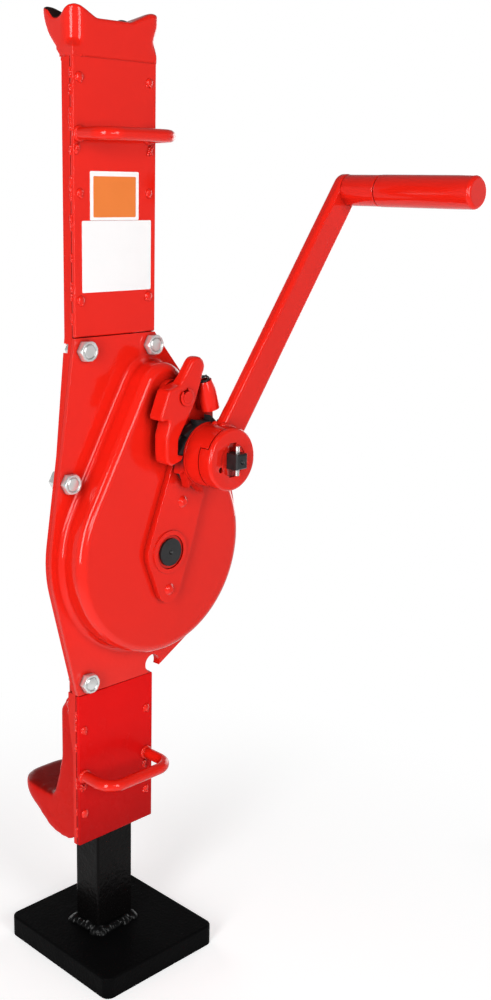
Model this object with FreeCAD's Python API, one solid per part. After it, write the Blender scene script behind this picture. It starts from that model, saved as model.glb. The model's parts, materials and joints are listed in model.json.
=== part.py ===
import FreeCAD, Part
import math
import os
from FreeCAD import Vector

# Rack and pinion jack with a hand crank, a claw at its foot and a horned head.
# Millimetres, Z up, X to the right and Y to the back, seen with the crank in front.
# Origin on the floor, below the middle of the column. Front view angles run anticlockwise from +X.

# Foot
base_width = 130.0
base_depth = 142.0
base_x = 2.0
base_y = 2.5
base_thickness = 20.0
base_corner = 8.0
base_edge_round = 2.0
foot_bead = 6.0

# Rack bar
rack_width = 40.0
rack_depth = 32.0
rack_x = -2.0
rack_y = 9.0
rack_plain_end = 12.0
rack_edge = 2.0
lift_up = 262.0
lift_down = 80.0

# Tooth form shared by all gears
pressure_angle = math.radians(25)
profile_shift = 0.5
root_depth = 1.25
flank_gap = 0.12
flank_steps = 4

# Gear train
rack_module = 5.0
rack_pinion_teeth = 6
rack_pinion_tip = 0.7
rack_tooth_root = 1.0
gear_height = 385.0
gear_module = 3.5
drive_gear_teeth = 44
drive_gear_tip = 1.0
crank_pinion_teeth = 7
crank_pinion_tip = 0.75
crank_lean = math.radians(19.2)

# Column of pressed sheet
sheet = 4.0
rack_clearance = 0.5
left_side_width = 20.0
right_side_width = 17.0
lower_column = 143.0
upper_column = 215.0
seam_gap = 0.4
channel_inner_round = 1.0
lip_depth = 6.0
lip_full_drop = 25.0
lip_end_drop = 58.0
case_lip_drop = 95.0
nut_window = 12.5
weld_dot_radius = 4.0
weld_dot_height = 1.0
upper_weld_shares = (0.07, 0.47, 0.86)
lower_weld_shares = (0.23, 0.79)

# Gear case
dome_clearance = 10.25
dome_top_radius = 26.0
dome_depth = 25.0
dome_edge = 8.0
dome_foot = 5.0
flange_width = 15.0
flange_shift = 4.0
case_skirt = 14.0
case_crown = 23.5
bolt_lobe_reach = 46.0
bolt_lobe_radius = 15.0
notch_radius = 8.5
notch_rise = 8.0
side_bolt_reach = 15.5
side_bolt_angle = math.radians(141.2)
bolt_inset = 10.5
upper_bolt_inset = 3.5
bolt_radius = 5.0
bolt_head_height = 6.5
nut_height = 8.0
hex_flats = 16.0

# Bearing plate on the dome
plate_thickness = 6.0
plate_gear_radius = 24.5
plate_crank_radius = 22.0
plate_foot_drop = 34.0
plate_foot_radius = 12.0
plate_arm_radius = 13.0
boss_width = 4.0
boss_height = 1.5
rivet_radius = 3.0
rivet_head_radius = 5.5
rivet_head_height = 2.5
plate_rivet_share = 0.5

# Shafts and bushes
running_fit = 0.05
end_play = 0.5
bush_wall = 3.0
bush_flange_width = 2.5
bush_flange = 1.5
gear_journal_radius = 12.0
gear_seat_radius = 13.0
gear_rear_radius = 11.0
gear_collar_radius = 16.0
gear_shaft_proud = 2.0
gear_hub_radius = 22.0
gear_hub_length = 22.0
gear_face = 17.0
gear_web = 9.0
gear_rim = 8.0
key_width = 8.0
key_height = 7.0
pinion_overlap = 1.0
pinion_chamber_gap = 1.0
pinion_housing_wall = 5.0
pinion_housing_back = 6.0
crank_journal_radius = 12.0
crank_rear_radius = 10.0
crank_rear_length = 7.5
shaft_end_proud = 1.0

# Load brake and crank end
brake_flange_radius = 28.0
brake_flange_width = 3.0
friction_disc = 2.0
ratchet_teeth = 12
ratchet_root = 28.0
ratchet_tip = 33.5
ratchet_width = 8.0
catch_angle = math.radians(173)
hub_radius = 27.0
hub_length = 15.0
thread_radius = 11.0
dog_length = 9.2
dog_gap = 0.3
cap_disc = 5.0
cap_edge = 3.0
cap_hole_radius = 2.5
cap_hole_circle = 15.5
cap_hole_angle = math.radians(206)
cap_recess_radius = 14.0
cap_recess_depth = 1.0
cap_slot_width = 8.0
cap_slot_length = 29.0
cap_slot_depth = 3.0
cap_dog_start = math.radians(155)
cap_dog_end = math.radians(335)
hub_dog_start = math.radians(5)
hub_dog_end = math.radians(154)
square_side = 13.0
square_end = 11.0
square_edge = 1.2
centre_mark_radius = 2.5
centre_mark_depth = 3.0
cross_pin_radius = 2.0
cross_pin_length = 25.0
cross_pin_from_end = 6.3

# Crank
crank_length = 270.0
arm_angle = math.radians(54.6)
arm_width = 28.0
arm_thickness = 11.0
arm_edge = 4.0
spindle_radius = 8.0
collar_radius = 13.5
collar_length = 35.0
collar_edge = 1.5
grip_radius = 13.8
grip_length = 98.0
grip_wall_end = 5.0
grip_end_round = 3.5
snap_ring_groove = 1.2
snap_ring_width = 2.0
snap_ring_from_end = 14.0

# Pawl and its spring
pawl_left = 26.85
pawl_rise = 52.2
pawl_knob_depth = 11.0
pawl_head_radius = 12.0
pawl_shoulder_left = 15.5
pawl_shoulder_rise = 3.0
pawl_shoulder_radius = 5.0
pawl_block_left = 25.0
pawl_block_drop = 15.0
pawl_block_corner = 3.0
pawl_knob_radius = 8.5
pawl_knob_reach = 27.5
pawl_knob_angle = math.radians(62.5)
pawl_elbow_radius = 7.0
pawl_elbow_drop = 32.5
pawl_elbow_left = 15.0
pawl_tip_radius = 6.5
pawl_tip_drop = 49.5
hook_gap = 0.5
hook_ramp_gap = 1.0
hook_span = math.radians(9)
hook_root_reach = 43.0
hook_root_span = math.radians(13)
pivot_radius = 5.0
pivot_proud = 2.3
clip_radius = 7.5
clip_thickness = 1.2
clip_groove = 1.0
clip_opening = 5.5
sleeve_right = 6.6
sleeve_rise = 38.5
sleeve_radius = 8.2
sleeve_mouth_radius = 6.3
sleeve_bore = 5.2
sleeve_floor = 3.0
sleeve_neck = 17.0
sleeve_length = 26.0
sleeve_lean = math.radians(108)
saddle_length = 14.0
saddle_width = 11.5
spring_wire = 0.8
spring_turns = 6
spring_sides = 12
wire_sides = 6
spring_gap = 0.3
knob_seat = 37.5

# Handles, claw and head
handle_rod = 5.0
handle_reach = 33.5
handle_bend = 15.0
handle_inset_left = 6.1
handle_inset_right = 7.8
lower_handle_rise = 66.0
upper_handle_drop = 57.0
claw_below_seam = 12.0
claw_cheek = 8.0
claw_shoulder_depth = 11.0
claw_shoulder_drop = 15.0
claw_back_drop = 64.0
claw_crotch_depth = 13.0
claw_crotch_drop = 105.0
claw_crotch_round = 40.0
claw_toe_length = 69.0
claw_tip_drop = 102.5
claw_tip_height = 11.0
claw_under_depth = 18.0
claw_under_round = 25.0
claw_bottom_drop = 143.0
claw_bottom_round = 20.0
claw_front_drop = 127.0
claw_edge = 6.0
claw_toe_corner = 23.0
head_height = 38.0
head_neck_height = 26.0
head_base_depth = 15.5
head_throat_depth = 31.0
head_throat_height = 17.0
head_throat_round = 20.0
head_top_depth = 41.5
head_left_edge = 13.0
head_right_edge = 6.0
head_back_edge = 8.0
horn_width = 8.0
horn_depth = 9.0
horn_slope_x = 17.0
horn_slope_y = 9.0
horn_front_round = 4.0
horn_back_round = 2.5
horn_crest_round = 8.0

# Places that follow from the sizes above
rack_left = rack_x - rack_width / 2
rack_right = rack_x + rack_width / 2
rack_front = rack_y - rack_depth / 2
rack_back = rack_y + rack_depth / 2
rack_pitch = math.pi * rack_module
rack_line = rack_right - rack_module
channel_left = rack_left - rack_clearance - sheet
channel_right = rack_right + rack_clearance + sheet
channel_back = rack_back + rack_clearance + sheet
channel_corner = channel_inner_round + sheet
column_left = channel_left - left_side_width
column_right = channel_right + right_side_width
plate_back = rack_front - rack_clearance
column_front = plate_back - sheet
side_back = plate_back + sheet

gear_x = rack_line + rack_module * (rack_pinion_teeth / 2 + profile_shift)
gear_z = gear_height
rack_pinion_tip_radius = rack_module * (rack_pinion_teeth / 2 + profile_shift + rack_pinion_tip)
centre_distance = gear_module * (drive_gear_teeth + crank_pinion_teeth) / 2
crank_x = gear_x + centre_distance * math.sin(crank_lean)
crank_z = gear_z + centre_distance * math.cos(crank_lean)
crank_from_gear = math.pi / 2 - crank_lean
drive_gear_tip_radius = gear_module * (drive_gear_teeth / 2 - profile_shift + drive_gear_tip)
pinion_chamber = rack_pinion_tip_radius + pinion_chamber_gap
pinion_housing = pinion_chamber + pinion_housing_wall
pawl_x = crank_x - pawl_left
pawl_z = crank_z + pawl_rise
sleeve_x = crank_x + sleeve_right
sleeve_z = crank_z + sleeve_rise
dome_radius = drive_gear_tip_radius + dome_clearance + sheet
flange_radius = dome_radius + flange_width
lower_seam = gear_z - flange_radius - case_skirt
upper_seam = pawl_z + dome_top_radius + case_crown
column_bottom = lower_seam - lower_column
column_top = upper_seam + upper_column
lower_handle_z = column_bottom + lower_handle_rise
upper_handle_z = column_top - upper_handle_drop
claw_top = lower_seam - claw_below_seam
bolt_lobe_x = crank_x + bolt_lobe_reach
side_bolt_x = gear_x + (dome_radius + side_bolt_reach) * math.cos(side_bolt_angle)
side_bolt_z = gear_z + (dome_radius + side_bolt_reach) * math.sin(side_bolt_angle)
plate_rivet_x = gear_x + (crank_x - gear_x) * plate_rivet_share
plate_rivet_z = gear_z + (crank_z - gear_z) * plate_rivet_share
bolt_places = [
    (column_left + bolt_inset, upper_seam - bolt_inset),
    (column_right - upper_bolt_inset, upper_seam - bolt_inset),
    (side_bolt_x, side_bolt_z),
    (column_left + bolt_inset, lower_seam + bolt_inset),
    (bolt_lobe_x, crank_z),
]

# Depths, from the rack towards the crank grip
pinion_back = rack_back - end_play
pinion_front = rack_front + end_play
dome_front = column_front - dome_depth
dome_inner = dome_front + sheet
bearing_front = dome_front - plate_thickness
gear_hub_back = plate_back - pinion_chamber_gap
gear_hub_front = gear_hub_back - gear_hub_length
gear_back = gear_hub_back - (gear_hub_length - gear_face) / 2
gear_front = gear_back - gear_face
flange_back = bearing_front - end_play
flange_front = flange_back - brake_flange_width
ratchet_back = flange_front - friction_disc
ratchet_front = ratchet_back - ratchet_width
hub_back = ratchet_front - friction_disc
hub_front = hub_back - hub_length
dog_front = hub_front - dog_length
cap_back = dog_front - dog_gap
cap_front = cap_back - cap_disc
shaft_tip = cap_front - square_end
arm_front = hub_front
arm_back = arm_front + arm_thickness
pawl_back = bearing_front - end_play
hook_back = ratchet_back + end_play
pawl_front = hook_back - pawl_knob_depth
pawl_middle = hook_back - pawl_knob_depth / 2
collar_front = arm_front - collar_length
grip_back = collar_front - end_play
grip_front = grip_back - grip_length


def point(x, z, y=0.0):
    return Vector(x, y, z)


def polar(centre, radius, angle):
    return (centre[0] + radius * math.cos(angle), centre[1] + radius * math.sin(angle))


def box(x0, x1, y0, y1, z0, z1):
    return Part.makeBox(x1 - x0, y1 - y0, z1 - z0, Vector(x0, y0, z0))


def disc(centre, radius, y_front, y_back):
    """Cylinder along Y between two depths."""
    return Part.makeCylinder(radius, y_back - y_front, point(*centre, y_front), Vector(0, 1, 0))


def slab(wire, y_front, y_back):
    """Outline in the front plane, extruded between two depths."""
    face = Part.Face(wire)
    face.translate(Vector(0, y_front, 0))
    return face.extrude(Vector(0, y_back - y_front, 0))


def polygon(points):
    return Part.makePolygon([point(*p) for p in points] + [point(*points[0])])


def rounded(corners, place):
    """Closed wire through (a, b, radius) corners, each rounded by a tangent arc."""
    edges = []
    ends = []
    count = len(corners)
    for i, (a, b, radius) in enumerate(corners):
        here = place(a, b)
        before = place(*corners[i - 1][:2]) - here
        after = place(*corners[(i + 1) % count][:2]) - here
        before.normalize()
        after.normalize()
        half = before.getAngle(after) / 2
        if radius == 0:
            ends.append((here, here))
            edges.append(None)
            continue
        cut = radius / math.tan(half)
        middle = before + after
        middle.normalize()
        top = here + middle * (radius / math.sin(half) - radius)
        start = here + before * cut
        end = here + after * cut
        ends.append((start, end))
        edges.append(Part.Arc(start, top, end).toShape())
    wire = []
    for i in range(count):
        if edges[i]:
            wire.append(edges[i])
        wire.append(Part.makeLine(ends[i][1], ends[(i + 1) % count][0]))
    return Part.Wire(wire)


def belt(circles):
    """Closed wire round circles (x, z, radius), as a tight belt lies round pulleys."""
    samples = 1440

    def farthest(angle):
        reach = [round(x * math.cos(angle) + z * math.sin(angle) + r, 9) for x, z, r in circles]
        return reach.index(max(reach))

    turns = []
    for i in range(samples):
        angle = 2 * math.pi * i / samples
        now = farthest(angle)
        following = farthest(angle + 2 * math.pi / samples)
        if now != following:
            turns.append((angle + math.pi / samples, now, following))
    tangents = []
    for angle, now, following in turns:
        x0, z0, r0 = circles[now]
        x1, z1, r1 = circles[following]
        bearing = math.atan2(z1 - z0, x1 - x0)
        swing = math.acos((r0 - r1) / math.hypot(x1 - x0, z1 - z0))
        exact = min((bearing + swing, bearing - swing),
                    key=lambda a: abs(math.remainder(a - angle, 2 * math.pi)))
        tangents.append((exact, now, following))
    edges = []
    for i, (angle, now, following) in enumerate(tangents):
        last_angle = tangents[i - 1][0]
        sweep = (angle - last_angle) % (2 * math.pi)
        x, z, r = circles[now]
        if r > 0:
            stops = [polar((x, z), r, last_angle + sweep * share) for share in (0, 0.5, 1)]
            edges.append(Part.Arc(*[point(*p) for p in stops]).toShape())
        leave = polar((x, z), r, angle)
        reach = polar(circles[following][:2], circles[following][2], angle)
        edges.append(Part.makeLine(point(*leave), point(*reach)))
    return Part.Wire(edges)


def involute(angle):
    return math.tan(angle) - angle


def gear_wire(centre, teeth, module, shift, tip_radius, first_tooth):
    """Involute gear outline with one tooth centred on the angle first_tooth."""
    pitch_radius = module * teeth / 2
    base_radius = pitch_radius * math.cos(pressure_angle)
    root_radius = module * (teeth / 2 + shift - root_depth)
    foot_radius = max(base_radius, root_radius)
    thick = (math.pi / 2 + 2 * shift * math.tan(pressure_angle)) / teeth - flank_gap / pitch_radius

    def half_tooth(radius):
        return thick + involute(pressure_angle) - involute(math.acos(base_radius / radius))

    radii = [foot_radius + (tip_radius - foot_radius) * i / flank_steps for i in range(flank_steps + 1)]
    flank = [(r, half_tooth(r)) for r in radii]
    if root_radius < foot_radius:
        flank.insert(0, (root_radius, half_tooth(foot_radius)))
    points = []
    for i in range(teeth):
        middle = first_tooth + 2 * math.pi * i / teeth
        points += [polar(centre, r, middle - half) for r, half in flank]
        points += [polar(centre, r, middle + half) for r, half in reversed(flank)]
    return polygon(points)


def sector(centre, radius, start, end, y_front, y_back):
    """Pie slice between two front view angles."""
    stops = [polar(centre, radius, start + (end - start) * share) for share in (0, 0.5, 1)]
    arc = Part.Arc(*[point(*p) for p in stops]).toShape()
    rim_start, rim_end = point(*stops[0]), point(*stops[2])
    sides = [Part.makeLine(point(*centre), rim_start), Part.makeLine(rim_end, point(*centre))]
    return slab(Part.Wire([sides[0], arc, sides[1]]), y_front, y_back)


def hexagon(centre, y_front, y_back):
    corner = hex_flats / math.sqrt(3)
    return slab(polygon([polar(centre, corner, math.radians(60 * i)) for i in range(6)]), y_front, y_back)


def edges_at_depth(shape, y):
    """Edges that lie wholly at one depth."""
    return [e for e in shape.Edges if abs(e.BoundBox.YMin - y) < 1e-4 and abs(e.BoundBox.YMax - y) < 1e-4]


def upright_edges(shape):
    return [e for e in shape.Edges if e.BoundBox.XLength < 1e-4 and e.BoundBox.YLength < 1e-4]


def flanged_bush(centre, bore, flange_face, end):
    """Plain bush with its flange in front of flange_face, or behind it when end lies in front."""
    outer = bore + bush_wall
    flange = outer + bush_flange_width
    inside = flange_face + bush_flange if end < flange_face else flange_face - bush_flange
    body = disc(centre, outer, min(flange_face, end), max(flange_face, end))
    lip = disc(centre, flange, min(flange_face, inside), max(flange_face, inside))
    low, high = min(inside, end), max(inside, end)
    return body.fuse(lip).cut(disc(centre, bore + running_fit, low, high)).removeSplitter()


gear_axis = (gear_x, gear_z)
crank_axis = (crank_x, crank_z)
grip_axis = polar(crank_axis, crank_length, arm_angle)
pawl_axis = (pawl_x, pawl_z)


# Foot and rack

def base_plate():
    plate = box(base_x - base_width / 2, base_x + base_width / 2,
                base_y - base_depth / 2, base_y + base_depth / 2, 0, base_thickness)
    plate = plate.makeFillet(base_corner, upright_edges(plate))
    rim = [e for e in plate.Edges if e.BoundBox.ZMin > base_thickness - 1e-4]
    return plate.makeFillet(base_edge_round, rim)


def tooth_spaces():
    """Heights of the rack's tooth spaces, enough for the whole lift."""
    reach = math.sqrt(rack_pinion_tip_radius ** 2 - (gear_x - rack_right) ** 2)
    lowest = -math.ceil((lift_down + reach) / rack_pitch)
    highest = math.ceil((lift_up + reach) / rack_pitch)
    return [gear_z + rack_pitch * i for i in range(lowest, highest + 1)]


def rack_top():
    return tooth_spaces()[-1] + rack_pitch / 2 + rack_plain_end


def rack():
    slope = math.tan(pressure_angle)
    line_half = rack_pitch / 4 + flank_gap
    mouth_half = line_half + rack_module * slope
    floor_half = line_half - rack_module * rack_tooth_root * slope
    floor_x = rack_line - rack_module * rack_tooth_root
    points = [(rack_left, base_thickness), (rack_right, base_thickness)]
    for z in tooth_spaces():
        points += [(rack_right, z - mouth_half), (floor_x, z - floor_half)]
        points += [(floor_x, z + floor_half), (rack_right, z + mouth_half)]
    points += [(rack_right, rack_top()), (rack_left, rack_top())]
    bar = slab(polygon(points), rack_front, rack_back)
    plain = [e for e in upright_edges(bar) if e.BoundBox.XMin < rack_x]
    return bar.makeFillet(rack_edge, plain)


def foot_weld():
    """Fillet weld round the rack's foot."""
    bead = Part.makeWedge(
        rack_left - foot_bead, base_thickness, rack_front - foot_bead, rack_front, rack_left,
        rack_right + foot_bead, base_thickness + foot_bead, rack_back + foot_bead, rack_back, rack_right)
    turn = FreeCAD.Placement(Vector(0, 0, 0), FreeCAD.Rotation(Vector(1, 0, 0), 90))
    bead = bead.transformGeometry(turn.toMatrix())
    bead = bead.mirror(Vector(0, 0, 0), Vector(0, 1, 0))
    return bead.cut(rack())


# Column

def rack_channel():
    outer = box(channel_left, channel_right, plate_back, channel_back, column_bottom, column_top)
    rear = [e for e in upright_edges(outer) if e.BoundBox.YMin > plate_back + sheet]
    outer = outer.makeFillet(channel_corner, rear)
    inner = box(channel_left + sheet, channel_right - sheet, plate_back, channel_back - sheet,
                column_bottom, column_top)
    rear = [e for e in upright_edges(inner) if e.BoundBox.YMin > plate_back + sheet]
    inner = inner.makeFillet(channel_inner_round, rear)
    window = disc(gear_axis, pinion_chamber, plate_back, pinion_back + end_play)
    bush_hole = disc(gear_axis, gear_rear_radius + bush_wall, pinion_back, channel_back)
    return outer.cut(inner).cut(window).cut(bush_hole)


def case_outline():
    """Outline of the gear case: the column's four corners, the flange circle and the bolt lobe."""
    corners = [(x, z, 0) for x in (column_left, column_right) for z in (lower_seam, upper_seam)]
    flange = (gear_x + flange_shift, gear_z, flange_radius)
    return belt(corners + [flange, (bolt_lobe_x, crank_z, bolt_lobe_radius)])


def case_holes(y_front, y_back):
    """Bolt holes, and the round notch at the case's lower corner."""
    holes = [disc(place, bolt_radius, y_front, y_back) for place in bolt_places]
    holes.append(disc((column_right, lower_seam + notch_rise), notch_radius, y_front, y_back))
    return Part.makeCompound(holes)


def back_plate(x0, x1):
    """Column side sheet that widens into the back of the gear case."""
    strip = box(column_left, column_right, plate_back, side_back, column_bottom, column_top)
    sheet_solid = strip.fuse(slab(case_outline(), plate_back, side_back)).removeSplitter()
    reach = flange_radius + upper_column
    inside = box(x0, x1, plate_back, side_back, column_bottom - reach, column_top + reach)
    return sheet_solid.common(inside).cut(case_holes(plate_back, side_back))


def edge_lips(x0, x1):
    """Lips turned back along the column's outer edge, the lower one run out to nothing."""
    upper = box(x0, x1, side_back, side_back + lip_depth, upper_seam, column_top)
    profile = Part.makePolygon([
        Vector(x0, side_back, lower_seam - lip_end_drop),
        Vector(x0, side_back + lip_depth, lower_seam - lip_full_drop),
        Vector(x0, side_back + lip_depth, lower_seam),
        Vector(x0, side_back, lower_seam),
        Vector(x0, side_back, lower_seam - lip_end_drop)])
    return upper, Part.Face(profile).extrude(Vector(x1 - x0, 0, 0))


def case_lip():
    """Lip along the case's left edge, run out to nothing, with a window beside the upper nut."""
    band = slab(case_outline(), side_back, side_back + lip_depth)
    inside = band.copy()
    inside.translate(Vector(sheet, 0, 0))
    start = column_left - flange_radius
    run_out = Part.makePolygon([
        Vector(start, side_back, upper_seam - case_lip_drop),
        Vector(start, side_back + lip_depth, upper_seam),
        Vector(start, side_back, upper_seam),
        Vector(start, side_back, upper_seam - case_lip_drop)])
    lip = band.cut(inside).common(Part.Face(run_out).extrude(Vector(channel_left - start, 0, 0)))
    return lip.cut(disc(bolt_places[0], nut_window, side_back, side_back + lip_depth))


def left_side_plate():
    plate = back_plate(column_left - flange_radius, channel_left)
    lips = [*edge_lips(column_left, column_left + sheet), case_lip()]
    return plate.fuse(lips).removeSplitter()


def right_side_plate():
    plate = back_plate(channel_right, column_right + flange_radius)
    plate = plate.cut(disc(gear_axis, pinion_chamber, plate_back, side_back))
    plate = plate.cut(disc(crank_axis, crank_rear_radius + bush_wall, plate_back, side_back))
    return plate.fuse(edge_lips(column_right - sheet, column_right)).removeSplitter()


def upper_front_plate():
    return box(column_left, column_right, column_front, plate_back, upper_seam + seam_gap, column_top)


def lower_front_plate():
    return box(column_left, column_right, column_front, plate_back, column_bottom, lower_seam - seam_gap)


def plug_welds():
    """Plug welds that hold the front plates to the side plates."""
    left = column_left + handle_inset_left
    right = column_right - handle_inset_right
    heights = [column_top - upper_column * share for share in upper_weld_shares]
    heights += [lower_seam - lower_column * share for share in lower_weld_shares]
    dots = []
    for x in (left, right):
        for z in heights:
            dots.append(Part.makeCone(weld_dot_radius, weld_dot_radius / 2, weld_dot_height,
                                      point(x, z, column_front), Vector(0, -1, 0)))
    return Part.makeCompound(dots)


def handle(height):
    """Round bar bent into a loop and welded to the front plate by its two ends."""
    left = column_left + handle_inset_left
    right = column_right - handle_inset_right
    far = column_front - handle_reach
    diagonal = handle_bend * (1 - math.sqrt(0.5))
    path = [
        Part.makeLine(point(left, height, column_front), point(left, height, far + handle_bend)),
        Part.Arc(point(left, height, far + handle_bend), point(left + diagonal, height, far + diagonal),
                 point(left + handle_bend, height, far)).toShape(),
        Part.makeLine(point(left + handle_bend, height, far), point(right - handle_bend, height, far)),
        Part.Arc(point(right - handle_bend, height, far), point(right - diagonal, height, far + diagonal),
                 point(right, height, far + handle_bend)).toShape(),
        Part.makeLine(point(right, height, far + handle_bend), point(right, height, column_front)),
    ]
    section = Part.Wire(Part.makeCircle(handle_rod, point(left, height, column_front), Vector(0, 1, 0)))
    return Part.Wire(path).makePipeShell([section], True, False)


def lower_handle():
    return handle(lower_handle_z)


def upper_handle():
    return handle(upper_handle_z)


def claw():
    """Forged claw: two cheeks grip the channel, the toe points back."""
    left = channel_left - claw_cheek
    right = channel_right + claw_cheek
    tip = channel_back + claw_toe_length
    profile = rounded([
        (side_back, 0, 0),
        (channel_back - claw_shoulder_depth, 0, claw_edge),
        (channel_back, claw_shoulder_drop, claw_edge),
        (channel_back, claw_back_drop, claw_crotch_round),
        (channel_back + claw_crotch_depth, claw_crotch_drop, claw_edge),
        (tip, claw_tip_drop, claw_edge),
        (tip, claw_tip_drop + claw_tip_height, claw_edge),
        (channel_back + claw_under_depth, claw_bottom_drop, claw_under_round),
        (channel_back - claw_cheek, claw_bottom_drop, claw_bottom_round),
        (side_back, claw_front_drop, 0),
    ], lambda y, drop: Vector(left, y, claw_top - drop))
    body = Part.Face(profile).extrude(Vector(right - left, 0, 0))
    plan = rounded([
        (left, side_back, 0), (right, side_back, 0),
        (right, tip, claw_toe_corner), (left, tip, claw_toe_corner),
    ], lambda x, y: Vector(x, y, 0))
    trimmed = body.common(Part.Face(plan).extrude(Vector(0, 0, claw_top)))
    return trimmed.cut(channel_space())


def channel_space():
    """Outside form of the channel, longer than the claw on it."""
    space = box(channel_left, channel_right, plate_back, channel_back, 0, column_top)
    rear = [e for e in upright_edges(space) if e.BoundBox.YMin > side_back]
    return space.makeFillet(channel_corner, rear)


def head():
    """Forged head: a block that flares to the back, with crossing valleys between four horns."""
    back = column_front + head_top_depth
    side = rounded([
        (column_front, column_top, 0),
        (column_front + head_base_depth, column_top, 0),
        (column_front + head_throat_depth, column_top + head_throat_height, head_throat_round),
    ] + horn_line(back, column_front, -1, horn_slope_y, horn_back_round),
        lambda y, z: Vector(column_left, y, z))
    front = rounded([
        (column_right, column_top, 0), (column_left, column_top, 0),
    ] + horn_line(column_left, column_right, 1, horn_slope_x, horn_front_round), point)
    plan = rounded([
        (column_left, column_front, head_left_edge), (column_right, column_front, head_right_edge),
        (column_right, back, head_back_edge), (column_left, back, head_back_edge),
    ], lambda x, y: Vector(x, y, column_top))
    block = Part.Face(side).extrude(Vector(column_right - column_left, 0, 0))
    block = block.common(slab(front, column_front, back))
    block = block.common(Part.Face(plan).extrude(Vector(0, 0, head_height)))
    neck = box(channel_left, channel_right, column_front + head_left_edge, channel_back,
               column_top, column_top + head_neck_height)
    return block.fuse(neck).removeSplitter()


def horn_line(start, end, way, slope, start_round):
    """Top line from one horn over the valley to the next, as corners with their radii."""
    top = column_top + head_height
    crest = way * horn_width
    foot = way * (horn_width + slope)
    return [
        (start, top, start_round), (start + crest, top, horn_crest_round),
        (start + foot, top - horn_depth, horn_crest_round),
        (end - foot, top - horn_depth, horn_crest_round),
        (end - crest, top, horn_crest_round), (end, top, horn_front_round),
    ]


# Gear case

def dome(radius_cut, front, edge):
    circles = [(gear_x, gear_z, dome_radius - radius_cut),
               (gear_x, pawl_z, dome_top_radius - radius_cut)]
    body = slab(belt(circles), front, plate_back)
    return body.makeFillet(edge, edges_at_depth(body, front))


def gear_cover():
    flange = slab(case_outline(), column_front, plate_back)
    cover = flange.fuse(dome(0, dome_front, dome_edge)).removeSplitter()
    rim = case_outline()
    rim.translate(Vector(0, column_front, 0))
    foot = [e for e in edges_at_depth(cover, column_front) if rim.distToShape(e)[0] > dome_foot]
    cover = cover.makeFillet(dome_foot, foot)
    cover = cover.cut(dome(sheet, dome_inner, dome_edge - sheet))
    cover = cover.cut(disc(gear_axis, gear_journal_radius + bush_wall, dome_front, dome_inner))
    cover = cover.cut(disc(crank_axis, crank_journal_radius + bush_wall, dome_front, dome_inner))
    cover = cover.cut(disc((plate_rivet_x, plate_rivet_z), rivet_radius, dome_front, dome_inner))
    cover = cover.cut(disc((gear_x, gear_z - plate_foot_drop), rivet_radius, dome_front, dome_inner))
    return cover.cut(case_holes(column_front, plate_back))


def cover_bolts():
    bolts = []
    for place in bolt_places:
        shank = disc(place, bolt_radius, column_front, side_back + nut_height + shaft_end_proud)
        bolt_head = hexagon(place, column_front - bolt_head_height, column_front)
        bolts.append(bolt_head.fuse(shank).removeSplitter())
    return Part.makeCompound(bolts)


def cover_nuts():
    nuts = []
    for place in bolt_places:
        blank = hexagon(place, side_back, side_back + nut_height)
        nuts.append(blank.cut(disc(place, bolt_radius, side_back, side_back + nut_height)))
    return Part.makeCompound(nuts)


def bearing_plate():
    lower = belt([(gear_x, gear_z - plate_foot_drop, plate_foot_radius),
                  (gear_x, gear_z, plate_gear_radius), (crank_x, crank_z, plate_crank_radius)])
    upper = belt([(crank_x, crank_z, plate_crank_radius), (pawl_x, pawl_z, plate_arm_radius),
                  (sleeve_x, sleeve_z, plate_arm_radius)])
    plate = slab(lower, bearing_front, dome_front).fuse(slab(upper, bearing_front, dome_front))
    gear_hole = gear_journal_radius + bush_wall
    plate = plate.fuse(disc(gear_axis, gear_hole + boss_width, bearing_front - boss_height, dome_front))
    plate = plate.removeSplitter()
    for centre, radius in (
            (gear_axis, gear_hole),
            (crank_axis, crank_journal_radius + bush_wall),
            (pawl_axis, pivot_radius),
            ((plate_rivet_x, plate_rivet_z), rivet_radius),
            ((gear_x, gear_z - plate_foot_drop), rivet_radius)):
        plate = plate.cut(disc(centre, radius, bearing_front - boss_height, dome_front))
    return plate


def plate_rivets():
    rivets = []
    for centre in ((plate_rivet_x, plate_rivet_z), (gear_x, gear_z - plate_foot_drop)):
        shank = disc(centre, rivet_radius, bearing_front, dome_inner)
        top = Part.makeCone(rivet_head_radius, rivet_head_radius / 2, rivet_head_height,
                            point(*centre, bearing_front), Vector(0, -1, 0))
        tail = disc(centre, rivet_head_radius, dome_inner, dome_inner + rivet_head_height / 2)
        rivets.append(shank.fuse(top).fuse(tail).removeSplitter())
    return Part.makeCompound(rivets)


def pinion_housing_shell():
    """Half-round housing of the rack pinion on the back of the case."""
    side = disc(gear_axis, pinion_housing, side_back, channel_back)
    side = side.cut(disc(gear_axis, pinion_chamber, side_back, channel_back))
    side = side.cut(box(channel_left, channel_right, side_back, channel_back,
                        gear_z - pinion_housing, gear_z + pinion_housing))
    end = disc(gear_axis, pinion_housing, channel_back, channel_back + pinion_housing_back)
    hole = disc(gear_axis, gear_rear_radius + bush_wall, channel_back, channel_back + pinion_housing_back)
    return side.fuse(end).cut(hole).removeSplitter()


def gear_front_bush():
    return flanged_bush(gear_axis, gear_journal_radius, dome_inner, bearing_front)


def gear_rear_bush():
    end = channel_back + pinion_housing_back
    bush = disc(gear_axis, gear_rear_radius + bush_wall, pinion_back + end_play, end)
    return bush.cut(disc(gear_axis, gear_rear_radius + running_fit, pinion_back, end))


def crank_front_bush():
    return flanged_bush(crank_axis, crank_journal_radius, dome_inner, bearing_front)


def crank_rear_bush():
    return flanged_bush(crank_axis, crank_rear_radius, plate_back, plate_back + crank_rear_length)


# Gear shaft

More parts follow.
